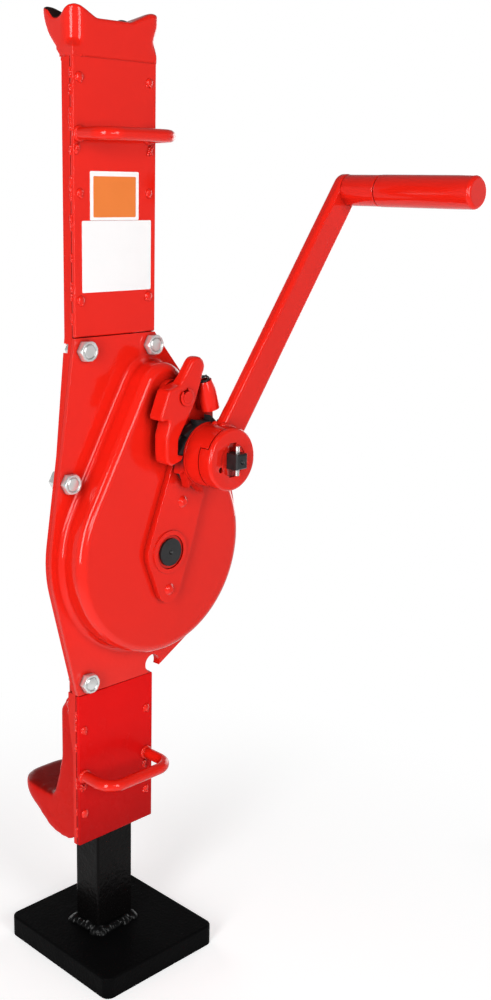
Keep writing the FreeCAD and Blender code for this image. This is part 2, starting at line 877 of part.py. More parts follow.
def rack_pinion_shaft():
    """Rack pinion in one piece with its shaft, turned journals at both ends."""
    teeth = slab(gear_wire(gear_axis, rack_pinion_teeth, rack_module, profile_shift,
                           rack_pinion_tip_radius, math.pi), pinion_front, pinion_back)
    shaft = disc(gear_axis, gear_rear_radius, gear_hub_back,
                 channel_back + pinion_housing_back + shaft_end_proud)
    shaft = shaft.fuse(disc(gear_axis, gear_collar_radius, gear_hub_back, plate_back))
    shaft = shaft.fuse(disc(gear_axis, gear_seat_radius, gear_hub_front, gear_hub_back))
    tip = bearing_front - gear_shaft_proud
    shaft = shaft.fuse(disc(gear_axis, gear_journal_radius, tip, gear_hub_front))
    shaft = shaft.fuse(teeth).removeSplitter()
    mark = Part.makeCone(centre_mark_radius, 0, centre_mark_depth, point(*gear_axis, tip), Vector(0, 1, 0))
    return shaft.cut(key_slot(gear_hub_front, gear_hub_back)).cut(mark)


def key_slot(y_front, y_back):
    """Key, half in the shaft and half in the gear hub, at the top of the seat."""
    middle = gear_z + gear_seat_radius
    return box(gear_x - key_width / 2, gear_x + key_width / 2, y_front, y_back,
               middle - key_height / 2, middle + key_height / 2)


def gear_key():
    return key_slot(gear_hub_front, gear_hub_back)


def drive_gear():
    root = gear_module * (drive_gear_teeth / 2 - profile_shift - root_depth)
    first = crank_from_gear + math.pi / drive_gear_teeth
    gear = slab(gear_wire(gear_axis, drive_gear_teeth, gear_module, -profile_shift,
                          drive_gear_tip_radius, first), gear_front, gear_back)
    side = (gear_face - gear_web) / 2
    for y in (gear_front, gear_back - side):
        hollow = disc(gear_axis, root - gear_rim, y, y + side)
        gear = gear.cut(hollow.cut(disc(gear_axis, gear_hub_radius, y, y + side)))
    gear = gear.fuse(disc(gear_axis, gear_hub_radius, gear_hub_front, gear_hub_back)).removeSplitter()
    gear = gear.cut(disc(gear_axis, gear_seat_radius, gear_hub_front, gear_hub_back))
    return gear.cut(key_slot(gear_hub_front, gear_hub_back))


# Crank shaft with load brake

def crank_pinion_shaft():
    """Crank pinion, journals, brake flange and square end in one piece."""
    back = gear_back + pinion_overlap
    front = gear_front - pinion_overlap
    tip = gear_module * (crank_pinion_teeth / 2 + profile_shift + crank_pinion_tip)
    teeth = slab(gear_wire(crank_axis, crank_pinion_teeth, gear_module, profile_shift, tip,
                           crank_from_gear + math.pi), front, back)
    shaft = disc(crank_axis, crank_rear_radius, back, plate_back + crank_rear_length + shaft_end_proud)
    shaft = shaft.fuse(disc(crank_axis, crank_journal_radius, hub_back, front))
    shaft = shaft.fuse(disc(crank_axis, brake_flange_radius, flange_front, flange_back))
    shaft = shaft.fuse(disc(crank_axis, thread_radius, hub_front - dog_gap, hub_back))
    square = box(crank_x - square_side / 2, crank_x + square_side / 2, shaft_tip, hub_front - dog_gap,
                 crank_z - square_side / 2, crank_z + square_side / 2)
    square = square.makeChamfer(square_edge, edges_at_depth(square, shaft_tip))
    shaft = shaft.fuse(square).fuse(teeth).removeSplitter()
    mark = Part.makeCone(centre_mark_radius, 0, centre_mark_depth, point(*crank_axis, shaft_tip),
                         Vector(0, 1, 0))
    return shaft.cut(mark).cut(cross_pin())


def brake_disc(y_front, bore):
    ring = disc(crank_axis, brake_flange_radius, y_front, y_front + friction_disc)
    return ring.cut(disc(crank_axis, bore, y_front, y_front + friction_disc))


def rear_friction_disc():
    return brake_disc(ratchet_back, crank_journal_radius)


def front_friction_disc():
    return brake_disc(hub_back, crank_journal_radius + running_fit)


def ratchet_wheel():
    """Saw-toothed wheel: steep faces stop it anticlockwise, ramps slip under the pawl."""
    step = 2 * math.pi / ratchet_teeth
    points = []
    for i in range(ratchet_teeth):
        points.append(polar(crank_axis, ratchet_root, catch_angle + step * i))
        points.append(polar(crank_axis, ratchet_tip, catch_angle + step * (i + 1)))
    wheel = slab(polygon(points), ratchet_front + running_fit, ratchet_back - running_fit)
    return wheel.cut(disc(crank_axis, crank_journal_radius + running_fit, ratchet_front, ratchet_back))


def crank_hub():
    """Hub on the shaft's thread, with a raised dog that pushes the end cap round."""
    hub = disc(crank_axis, hub_radius, hub_front, hub_back)
    dog = sector(crank_axis, hub_radius, hub_dog_start, hub_dog_end, dog_front, hub_front)
    bore = disc(crank_axis, thread_radius + running_fit, dog_front, hub_back)
    return hub.fuse(dog).removeSplitter().cut(bore)


def end_cap():
    """Dog cap on the square end, with the half-round dog that the hub drives."""
    cap = disc(crank_axis, hub_radius, cap_front, cap_back)
    cap = cap.makeFillet(cap_edge, edges_at_depth(cap, cap_front))
    dog = sector(crank_axis, hub_radius, cap_dog_start, cap_dog_end, cap_back, hub_front - dog_gap)
    cap = cap.fuse(dog).removeSplitter()
    cap = cap.cut(disc(crank_axis, cap_recess_radius, cap_front, cap_front + cap_recess_depth))
    cap = cap.cut(box(crank_x - cap_slot_width / 2, crank_x + cap_slot_width / 2, cap_front,
                      cap_front + cap_slot_depth,
                      crank_z - cap_slot_length / 2, crank_z + cap_slot_length / 2))
    hole_at = polar(crank_axis, cap_hole_circle, cap_hole_angle)
    cap = cap.cut(disc(hole_at, cap_hole_radius, cap_front, cap_back))
    return cap.cut(box(crank_x - square_side / 2, crank_x + square_side / 2, shaft_tip, hub_front,
                       crank_z - square_side / 2, crank_z + square_side / 2))


def cross_pin():
    place = Vector(crank_x, shaft_tip + cross_pin_from_end, crank_z - cross_pin_length / 2)
    return Part.makeCylinder(cross_pin_radius, cross_pin_length, place, Vector(0, 0, 1))


# Crank

def crank_arm():
    """Flat bar welded to the hub."""
    start = polar(crank_axis, hub_radius / 2, arm_angle)
    outline = belt([(*start, arm_width / 2), (*grip_axis, arm_width / 2)])
    arm = slab(outline, arm_front, arm_back)
    rim = edges_at_depth(arm, arm_front) + edges_at_depth(arm, arm_back)
    arm = arm.makeFillet(arm_edge, rim)
    arm = arm.cut(disc(crank_axis, hub_radius, dog_front, hub_back))
    return arm.cut(disc(grip_axis, spindle_radius, arm_front, arm_back))


def grip_spindle():
    """Spindle riveted into the arm, with its collar and a groove for the snap ring."""
    pin = disc(grip_axis, spindle_radius, grip_front + grip_wall_end + end_play, arm_back)
    collar = disc(grip_axis, collar_radius, collar_front, arm_front)
    collar = collar.makeFillet(collar_edge, edges_at_depth(collar, collar_front))
    spindle = pin.fuse(collar).removeSplitter()
    groove_front = grip_front + snap_ring_from_end
    groove = disc(grip_axis, spindle_radius, groove_front, groove_front + snap_ring_width)
    return spindle.cut(groove.cut(disc(grip_axis, spindle_radius - snap_ring_groove,
                                       groove_front, groove_front + snap_ring_width)))


def grip_snap_ring():
    front = grip_front + snap_ring_from_end
    ring = disc(grip_axis, spindle_radius + snap_ring_groove, front, front + snap_ring_width)
    return ring.cut(disc(grip_axis, spindle_radius - snap_ring_groove, front, front + snap_ring_width))


def grip_sleeve():
    """Loose grip that turns on the spindle."""
    sleeve = disc(grip_axis, grip_radius, grip_front, grip_back)
    sleeve = sleeve.makeFillet(grip_end_round, edges_at_depth(sleeve, grip_front))
    sleeve = sleeve.makeFillet(collar_edge, edges_at_depth(sleeve, grip_back))
    bore = disc(grip_axis, spindle_radius + running_fit, grip_front + grip_wall_end, grip_back)
    sleeve = sleeve.cut(bore)
    front = grip_front + snap_ring_from_end
    return sleeve.cut(disc(grip_axis, spindle_radius + snap_ring_groove + spring_gap,
                           front - spring_gap, front + snap_ring_width + spring_gap))


# Pawl

def sleeve_point(along):
    return polar((sleeve_x, sleeve_z), along, sleeve_lean)


def sleeve_rod(radius, start, end):
    """Cylinder on the spring's axis, between two distances from the sleeve's foot."""
    axis = Vector(math.cos(sleeve_lean), 0, math.sin(sleeve_lean))
    return Part.makeCylinder(radius, end - start, point(*sleeve_point(start), pawl_middle), axis)


def pawl():
    """Pawl lever: block round the pivot, knob above, hooked tail that catches the ratchet below."""
    head_circle = (*pawl_axis, pawl_head_radius)
    knob = (*polar(pawl_axis, pawl_knob_reach, pawl_knob_angle), pawl_knob_radius)
    shoulder = (pawl_x - pawl_shoulder_left, pawl_z + pawl_shoulder_rise, pawl_shoulder_radius)
    block_left = (pawl_x - pawl_block_left, pawl_z - pawl_block_drop, pawl_block_corner)
    block_right = (pawl_x, pawl_z - pawl_block_drop, pawl_block_corner)
    elbow = (pawl_x - pawl_elbow_left, pawl_z - pawl_elbow_drop, pawl_elbow_radius)
    tail = (elbow[0], pawl_z - pawl_tip_drop, pawl_tip_radius)
    lever = slab(belt([head_circle, shoulder, block_left, block_right]), pawl_front, pawl_back)
    lever = lever.fuse([
        slab(belt([head_circle, elbow]), pawl_front, pawl_back),
        slab(belt([elbow, tail]), pawl_front, pawl_back),
        slab(belt([head_circle, knob]), pawl_front, hook_back),
        slab(hook_wire(), pawl_front, hook_back),
    ]).removeSplitter()
    lever = lever.cut(disc(pawl_axis, pivot_radius + running_fit, pawl_front, bearing_front))
    return lever.cut(sleeve_rod(sleeve_bore, 0, knob_seat))


def hook_wire():
    """Tooth of the pawl, a small gap away from the ratchet's steep face and ramp."""
    ramp = (ratchet_tip - ratchet_root) / (2 * math.pi / ratchet_teeth)
    across = (-math.sin(catch_angle) * hook_gap, math.cos(catch_angle) * hook_gap)
    tip = ratchet_root + hook_ramp_gap
    top = [polar(crank_axis, r, catch_angle) for r in (hook_root_reach, tip)]
    top = [(x + across[0], z + across[1]) for x, z in top]
    low_tip = polar(crank_axis, tip + ramp * hook_span, catch_angle + hook_span)
    low_root = polar(crank_axis, hook_root_reach, catch_angle + hook_root_span)
    return polygon([top[0], top[1], low_tip, low_root])


def pawl_pin():
    pin = disc(pawl_axis, pivot_radius, pawl_front - pivot_proud, dome_front)
    return pin.cut(clip_groove_ring())


def clip_groove_ring():
    front = pawl_front - end_play - clip_thickness
    ring = disc(pawl_axis, pivot_radius, front, front + clip_thickness)
    return ring.cut(disc(pawl_axis, pivot_radius - clip_groove, front, front + clip_thickness))


def pawl_clip():
    front = pawl_front - end_play - clip_thickness
    ring = disc(pawl_axis, clip_radius, front, front + clip_thickness)
    ring = ring.cut(disc(pawl_axis, pivot_radius - clip_groove, front, front + clip_thickness))
    return ring.cut(box(pawl_x - clip_opening / 2, pawl_x + clip_opening / 2, front, front + clip_thickness,
                        pawl_z - clip_radius, pawl_z))


def spring_sleeve():
    """Tube on a saddle on the bearing plate, holding the pawl spring."""
    saddle = Part.makeBox(saddle_length, saddle_width, bearing_front - pawl_middle,
                          Vector(0, -saddle_width / 2, 0))
    along = Vector(math.cos(sleeve_lean), 0, math.sin(sleeve_lean))
    frame = FreeCAD.Matrix(along.x, -along.z, 0, sleeve_x,
                           0, 0, 1, pawl_middle,
                           along.z, along.x, 0, sleeve_z,
                           0, 0, 0, 1)
    saddle = saddle.transformGeometry(frame)
    neck = Part.makeCone(sleeve_radius, sleeve_mouth_radius, sleeve_length - sleeve_neck,
                         point(*sleeve_point(sleeve_neck), pawl_middle), along)
    tube = sleeve_rod(sleeve_radius, 0, sleeve_neck).fuse([neck, saddle]).removeSplitter()
    return tube.cut(sleeve_rod(sleeve_bore, sleeve_floor, sleeve_length))


def pawl_spring():
    """Compression spring between the sleeve's floor and the pawl knob."""
    coil = sleeve_bore - spring_wire - spring_gap
    start = sleeve_floor + spring_wire + spring_gap
    length = knob_seat - spring_wire - spring_gap - start
    steps = spring_turns * spring_sides
    turn_step = 2 * math.pi / spring_sides
    path = [Vector(coil * math.cos(turn_step * i), coil * math.sin(turn_step * i), length * i / steps)
            for i in range(steps + 1)]
    lead = path[1] - path[0]
    across = lead.cross(Vector(0, 0, 1)).normalize()
    upward = across.cross(lead).normalize()
    rim = []
    for i in range(wire_sides + 1):
        angle = 2 * math.pi * i / wire_sides
        rim.append(path[0] + (across * math.cos(angle) + upward * math.sin(angle)) * spring_wire)
    section = Part.makePolygon(rim)
    spring = Part.makePolygon(path).makePipeShell([section], True, False, 1)
    turn = FreeCAD.Rotation(Vector(0, 0, 1), Vector(math.cos(sleeve_lean), 0, math.sin(sleeve_lean)))
    spring.Placement = FreeCAD.Placement(point(*sleeve_point(start), pawl_middle), turn)
    return spring


pieces = [
    base_plate, rack, foot_weld,
    rack_channel, left_side_plate, right_side_plate, upper_front_plate, lower_front_plate, plug_welds,
    lower_handle, upper_handle, claw, head,
    gear_cover, cover_bolts, cover_nuts, bearing_plate, plate_rivets, pinion_housing_shell,
    gear_front_bush, gear_rear_bush, crank_front_bush, crank_rear_bush,
    rack_pinion_shaft, gear_key, drive_gear,
    crank_pinion_shaft, rear_friction_disc, front_friction_disc, ratchet_wheel,
    crank_hub, end_cap, cross_pin, crank_arm, grip_spindle, grip_snap_ring, grip_sleeve,
    pawl, pawl_pin, pawl_clip, spring_sleeve, pawl_spring,
]

os.makedirs("parts", exist_ok=True)
for piece in pieces:
    shape = piece()
    shape.exportStep(os.path.join("parts", piece.__name__ + ".step"))
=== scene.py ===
import json
import math
import random

import bmesh
import bpy
from mathutils import Matrix, Vector

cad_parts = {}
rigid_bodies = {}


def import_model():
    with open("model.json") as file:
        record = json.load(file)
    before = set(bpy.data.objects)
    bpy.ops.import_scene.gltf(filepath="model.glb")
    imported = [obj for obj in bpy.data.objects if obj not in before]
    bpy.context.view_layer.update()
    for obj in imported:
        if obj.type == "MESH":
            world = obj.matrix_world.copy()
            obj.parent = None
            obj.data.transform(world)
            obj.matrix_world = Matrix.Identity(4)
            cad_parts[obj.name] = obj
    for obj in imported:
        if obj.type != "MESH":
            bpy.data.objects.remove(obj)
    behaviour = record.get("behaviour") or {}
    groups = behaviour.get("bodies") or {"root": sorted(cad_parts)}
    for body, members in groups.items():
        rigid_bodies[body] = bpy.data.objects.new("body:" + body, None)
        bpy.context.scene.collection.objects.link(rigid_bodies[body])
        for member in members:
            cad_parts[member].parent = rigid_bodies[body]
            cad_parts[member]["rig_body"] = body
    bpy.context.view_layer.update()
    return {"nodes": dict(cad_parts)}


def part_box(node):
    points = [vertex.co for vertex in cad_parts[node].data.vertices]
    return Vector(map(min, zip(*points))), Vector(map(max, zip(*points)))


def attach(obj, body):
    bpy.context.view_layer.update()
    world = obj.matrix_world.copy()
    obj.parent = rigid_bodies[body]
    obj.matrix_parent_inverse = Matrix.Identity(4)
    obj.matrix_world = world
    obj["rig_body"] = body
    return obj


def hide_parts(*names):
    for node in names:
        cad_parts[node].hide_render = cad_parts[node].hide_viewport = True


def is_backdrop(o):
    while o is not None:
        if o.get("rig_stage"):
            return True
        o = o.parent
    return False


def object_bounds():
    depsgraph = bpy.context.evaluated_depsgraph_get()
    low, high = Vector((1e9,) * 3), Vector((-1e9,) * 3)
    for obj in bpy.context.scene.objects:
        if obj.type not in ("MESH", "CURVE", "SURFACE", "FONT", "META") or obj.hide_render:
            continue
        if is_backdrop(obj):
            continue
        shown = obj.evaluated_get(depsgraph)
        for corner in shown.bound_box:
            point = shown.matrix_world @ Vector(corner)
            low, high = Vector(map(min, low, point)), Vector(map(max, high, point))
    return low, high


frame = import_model()


# Foot plate: an oblong of thick flat steel with flame-cut, rounded corners.
# It is sprayed flat black together with the rack, and the jack stands on it.

def node(tree, kind, sockets=None, **settings):
    """Adds a shader node; a socket value links it and any other value sets it."""
    made = tree.nodes.new(kind)
    for key, value in settings.items():
        setattr(made, key, value)
    for name, value in (sockets or {}).items():
        if isinstance(value, bpy.types.NodeSocket):
            tree.links.new(value, made.inputs[name])
        else:
            made.inputs[name].default_value = value
    return made


def sprayed_coat():
    """Paint film: uneven tone, painted shade in corners, patchy gloss, sags, orange peel and dust
    nibs.
    """
    tree = bpy.data.node_groups.new("sprayed_coat", "ShaderNodeTree")
    taken = (("Colour", "Color"), ("Painted Shade Colour", "Color"), ("Tone Spread", "Float"),
             ("Gloss Low", "Float"), ("Gloss High", "Float"), ("Peel Scale", "Float"),
             ("Sag", "Float"))
    for name, kind in taken:
        tree.interface.new_socket(name, in_out="INPUT", socket_type="NodeSocket" + kind)
    for name, kind in (("Colour", "Color"), ("Roughness", "Float"), ("Height", "Float")):
        tree.interface.new_socket(name, in_out="OUTPUT", socket_type="NodeSocket" + kind)
    given = tree.nodes.new("NodeGroupInput").outputs
    place = tree.nodes.new("ShaderNodeTexCoord").outputs["Object"]
    broad = node(tree, "ShaderNodeTexNoise", {"Vector": place, "Scale": 14.0, "Detail": 3.0})
    peel = node(tree, "ShaderNodeTexNoise", {
        "Vector": place, "Scale": given["Peel Scale"], "Detail": 1.5})
    sag = node(tree, "ShaderNodeTexNoise", {"Vector": place, "Scale": 62.0, "Detail": 1.0})
    nibs = node(tree, "ShaderNodeTexVoronoi", {"Vector": place, "Scale": 130.0})
    nib = node(tree, "ShaderNodeMapRange", {
        "Value": nibs.outputs["Distance"], "From Min": 0.02, "From Max": 0.07,
        "To Min": 1.0, "To Max": 0.0})
    swing = node(tree, "ShaderNodeMath", {0: broad.outputs["Fac"], 1: -0.5}, operation="ADD")
    swing = node(tree, "ShaderNodeMath", {
        0: swing.outputs[0], 1: given["Tone Spread"]}, operation="MULTIPLY")
    value = node(tree, "ShaderNodeMath", {0: swing.outputs[0], 1: 1.0}, operation="ADD")
    tone = node(tree, "ShaderNodeHueSaturation", {
        "Color": given["Colour"], "Value": value.outputs[0]})
    # Painted shade: where ambient occlusion finds corners, creases and parts close together, the
    # colour is blended towards a darker shade colour.
    corner = node(tree, "ShaderNodeAmbientOcclusion", {"Distance": 0.015}, samples=6)
    painted_shade_share = node(tree, "ShaderNodeMapRange", {
        "Value": corner.outputs["AO"], "From Min": 0.10, "From Max": 0.85,
        "To Min": 1.0, "To Max": 0.0})
    shade = node(tree, "ShaderNodeMix", {
        "Factor": painted_shade_share.outputs[0], 6: tone.outputs["Color"], 7: given["Painted Shade Colour"]},
        data_type="RGBA")
    dull = node(tree, "ShaderNodeTexNoise", {"Vector": place, "Scale": 42.0, "Detail": 4.0})
    gloss = node(tree, "ShaderNodeMapRange", {
        "Value": dull.outputs["Fac"], "From Min": 0.3, "From Max": 0.7,
        "To Min": given["Gloss Low"], "To Max": given["Gloss High"]})
    bumps = node(tree, "ShaderNodeMath", {
        0: nib.outputs[0], 1: 1.6, 2: peel.outputs["Fac"]}, operation="MULTIPLY_ADD")
    bumps = node(tree, "ShaderNodeMath", {
        0: sag.outputs["Fac"], 1: given["Sag"], 2: bumps.outputs[0]}, operation="MULTIPLY_ADD")
    node(tree, "NodeGroupOutput", {
        "Colour": shade.outputs[2], "Roughness": gloss.outputs[0], "Height": bumps.outputs[0]})
    return tree


coat = sprayed_coat()


def painted(name, colour, corner, tone, gloss, peel, sag, specular, upward_shade=None):
    """Sprayed paint: gloss a range, peel a scale and depth, with painted shade in corners and on
    upward faces.
    """
    material = bpy.data.materials.new(name)
    material.use_nodes = True
    tree = material.node_tree
    shader = tree.nodes["Principled BSDF"]
    film = node(tree, "ShaderNodeGroup", node_tree=coat)
    film.inputs["Colour"].default_value = (*colour, 1)
    film.inputs["Painted Shade Colour"].default_value = (*corner, 1)
    film.inputs["Tone Spread"].default_value = tone
    film.inputs["Gloss Low"].default_value, film.inputs["Gloss High"].default_value = gloss
    film.inputs["Peel Scale"].default_value = peel[0]
    film.inputs["Sag"].default_value = sag
    bump = node(tree, "ShaderNodeBump", {
        "Height": film.outputs["Height"], "Strength": 1.0, "Distance": peel[1]})
    shown = film.outputs["Colour"]
    # Painted shade: faces that look up are blended towards a darker colour, as though less light
    # fell on them.
    if upward_shade:
        facing = node(tree, "ShaderNodeSeparateXYZ", {
            0: tree.nodes.new("ShaderNodeNewGeometry").outputs["Normal"]})
        level = node(tree, "ShaderNodeMapRange", {
            "Value": facing.outputs["Z"], "From Min": 0.25, "From Max": 0.65})
        shown = node(tree, "ShaderNodeMix", {
            "Factor": level.outputs[0], 6: shown, 7: (*upward_shade, 1)}, data_type="RGBA").outputs[2]
    tree.links.new(shown, shader.inputs["Base Color"])
    tree.links.new(film.outputs["Roughness"], shader.inputs["Roughness"])
    tree.links.new(bump.outputs["Normal"], shader.inputs["Normal"])
    shader.inputs["Specular IOR Level"].default_value = specular
    return material


crisp_angle = math.radians(32)


def kept(bm, name, material, body, solids=(), crease=crisp_angle):
    """Turns a bmesh into a smooth-shaded piece that rides on a body and may stand for solids."""
    mesh = bpy.data.meshes.new(name)
    bm.to_mesh(mesh)
    bm.free()
    mesh.shade_smooth()
    mesh.set_sharp_from_angle(angle=crease)
    mesh.materials.clear()
    mesh.materials.append(material)
    piece = bpy.data.objects.new(name, mesh)
    bpy.context.scene.collection.objects.link(piece)
    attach(piece, body)
    if solids:
        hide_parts(*solids)
    return piece


def joined(solid):
    """Copy of a CAD solid with its points joined and its flat triangles made whole faces again."""
    same_point, same_plane = 2e-6, math.radians(0.4)
    bm = bmesh.new()
    bm.from_mesh(frame["nodes"][solid].data)
    bmesh.ops.remove_doubles(bm, verts=bm.verts, dist=same_point)
    bmesh.ops.dissolve_limit(bm, angle_limit=same_plane, verts=bm.verts, edges=bm.edges)
    return bm


def eased(bm, edge, left_sharp=None):
    """Rounds the crisp edges, apart from those that run along a height left sharp."""
    same_height = 1e-4
    crisp = [e for e in bm.edges if e.is_manifold and e.calc_face_angle() > crisp_angle]
    if left_sharp is not None:
        crisp = [e for e in crisp
                 if max(abs(v.co.z - left_sharp) for v in e.verts) > same_height]
    bmesh.ops.bevel(bm, geom=crisp, offset=edge, offset_type="OFFSET", affect="EDGES", segments=2,
                    profile=0.5, material=-1, clamp_overlap=True)


def dressed(solid, material, edge=0.0, left_sharp=None):
    """Copy of a CAD solid with eased edges and smooth curves, which stands for the solid."""
    bm = joined(solid)
    if edge:
        eased(bm, edge, left_sharp)
    piece = kept(bm, solid + "_finished", material, frame["nodes"][solid]["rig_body"],
                 [solid])
    piece.modifiers.new("flat_faces", "WEIGHTED_NORMAL").keep_sharp = True
    return piece


# Colour of the painted shade in the corners of the black paints.
black_painted_shade = (0.0010, 0.0010, 0.0010)
flat_black = painted(
    "flat_black_paint", colour=(0.0036, 0.0036, 0.0038), corner=black_painted_shade, tone=0.5,
    gloss=(0.30, 0.42), peel=(420.0, 0.00030), sag=0.8, specular=0.010)
dressed("base_plate", flat_black)


# Rack: a bar of forged steel with teeth milled down its right side and eased edges
# on the left. It is welded upright on the foot plate by a heavy, hand-laid bead.

satin_black = painted(
    "satin_black_paint", colour=(0.0034, 0.0030, 0.0030), corner=black_painted_shade, tone=0.5,
    gloss=(0.16, 0.30), peel=(260.0, 0.00030), sag=1.2, specular=0.060)
dressed("rack", satin_black)


def drops(bm, start, end, radius, step, dice):
    """Run of overlapping weld drops between two points, each of its own size and shape."""
    stray, thinnest, thickest = 0.22, 0.75, 1.2
    start, end = Vector(start), Vector(end)
    count = max(1, round((end - start).length / step))
    for k in range(count + 1):
        shift = Vector([dice.uniform(-stray, stray) * radius for _ in range(3)])
        swell = Vector([dice.uniform(thinnest, thickest) for _ in range(3)])
        spot = start.lerp(end, k / count) + shift
        bmesh.ops.create_icosphere(bm, subdivisions=2, radius=radius,
                                   matrix=Matrix.LocRotScale(spot, None, swell))


bead_radius, bead_step = 0.0058, 0.0050
root_radius, root_step, root_depth = 0.0074, 0.0110, 0.0010
soft_angle = math.radians(50)
bead_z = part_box("foot_weld")[0].z
rack_low, rack_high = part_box("rack")
foot_corners = [(rack_low.x, rack_low.y), (rack_high.x, rack_low.y),
                (rack_high.x, rack_high.y), (rack_low.x, rack_high.y)]
bead = bmesh.new()
dice = random.Random(4)
for k, here in enumerate(foot_corners):
    there = foot_corners[(k + 1) % len(foot_corners)]
    drops(bead, (*here, bead_z), (*there, bead_z), bead_radius, bead_step, dice)
    drops(bead, (*here, bead_z - root_depth), (*there, bead_z - root_depth), root_radius,
          root_step, dice)
weld_black = painted(
    "weld_black_paint", colour=(0.0036, 0.0036, 0.0038), corner=black_painted_shade, tone=0.5,
    gloss=(0.18, 0.34), peel=(300.0, 0.00060), sag=1.4, specular=0.11)
kept(bead, "foot_weld_bead", weld_black, "rack_foot", ["foot_weld"], soft_angle)


# Column: a channel of folded sheet round the rack, a side sheet on each flank and two
# front plates, all plug and seam welded and sprayed bright red as one piece. The paint
# on the lower plate is duller, and its darker red, darkest at the bottom end, is painted shade.

# Colour of the painted shade in the corners of the red paints.
red_painted_shade = (0.09, 0.0014, 0.0007)
red_paint = painted(
    "gloss_red_paint", colour=(0.80, 0.0150, 0.0068), corner=red_painted_shade, tone=0.08,
    gloss=(0.06, 0.11), peel=(330.0, 0.00006), sag=1.6, specular=0.32)
side_red = painted(
    "side_red_paint", colour=(0.79, 0.0180, 0.0100), corner=red_painted_shade, tone=0.10,
    gloss=(0.14, 0.24), peel=(330.0, 0.00007), sag=1.6, specular=0.10)
sheet_edge, plate_edge = 0.0006, 0.0011
dressed("rack_channel", side_red, sheet_edge)
dressed("left_side_plate", side_red, sheet_edge)
dressed("right_side_plate", side_red, sheet_edge)
plate_low, plate_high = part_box("upper_front_plate")
dressed("upper_front_plate", red_paint, plate_edge, left_sharp=plate_high.z)

# Painted shade: the lower plate takes a darker copy of the column's red.
shaded_dull_red = painted(
    "shaded_dull_red_paint", colour=(0.76, 0.0070, 0.0070), corner=red_painted_shade, tone=0.14,
    gloss=(0.20, 0.32), peel=(330.0, 0.00007), sag=1.6, specular=0.05)
# Painted shade: towards the plate's bottom end its colour is blended into a darker red.
dark_end, dark_start, bottom_shade_red = 0.125, 0.225, (0.47, 0.0055, 0.0055, 1)
tree = shaded_dull_red.node_tree
height = node(tree, "ShaderNodeSeparateXYZ", {
    0: tree.nodes.new("ShaderNodeTexCoord").outputs["Object"]})
lower = node(tree, "ShaderNodeMapRange", {
    "Value": height.outputs["Z"], "From Min": dark_end, "From Max": dark_start,
    "To Min": 1.0, "To Max": 0.0})
film = next(n for n in tree.nodes if n.type == "GROUP")
darker = node(tree, "ShaderNodeMix", {
    "Factor": lower.outputs[0], 6: film.outputs["Colour"], 7: bottom_shade_red}, data_type="RGBA")
tree.links.new(darker.outputs[2], tree.nodes["Principled BSDF"].inputs["Base Color"])
dressed("lower_front_plate", shaded_dull_red, plate_edge)

plug_columns = (-0.0404, 0.0317)
plug_rows = (0.1500, 0.2301, 0.6011, 0.6849, 0.7709)
plug_radius, plug_rise = 0.0036, 0.52
spatter_start, spatter_end = Vector((-0.0022, 0, -0.0020)), Vector((0.0010, 0, -0.0032))
spatter_radius, spatter_step = 0.0017, 0.0018
plugs = bmesh.new()
dice = random.Random(6)
for plug_x in plug_columns:
    for plug_z in plug_rows:
        plug = Vector((plug_x, plate_low.y, plug_z))
        swell = Vector((1.0, plug_rise, 1.0)) * dice.uniform(0.9, 1.1)
        bmesh.ops.create_icosphere(plugs, subdivisions=3, radius=plug_radius,
                                   matrix=Matrix.LocRotScale(plug, None, swell))
        drops(plugs, plug + spatter_start, plug + spatter_end, spatter_radius, spatter_step, dice)
kept(plugs, "plug_weld_domes", red_paint, "column", ["plug_welds"], soft_angle)

seam_rows = (0.1280, 0.1500, 0.1750, 0.2110, 0.2301, 0.2420, 0.5820, 0.6011, 0.6080, 0.6320,
             0.6560, 0.6600, 0.6790, 0.6849, 0.6910, 0.7140, 0.7320, 0.7370, 0.7590, 0.7709)
seam_inset, seam_depth = 0.0003, 0.0004
seam_shortest, seam_longest = 0.004, 0.012
seam_radius, seam_step = 0.0014, 0.0016
seam_y = plate_high.y - seam_depth
seam = bmesh.new()
dice = random.Random(9)
for seam_x in (plate_low.x + seam_inset, plate_high.x - seam_inset):
    for seam_z in seam_rows:
        reach = dice.uniform(seam_shortest, seam_longest)
        drops(seam, (seam_x, seam_y, seam_z), (seam_x, seam_y, seam_z + reach), seam_radius,
              seam_step, dice)
kept(seam, "column_seam_welds", red_paint, "column", crease=soft_angle)


# Label plates: two blank plates of thin foil stuck on the upper front plate, a white one
# and above it an orange one with a white border.

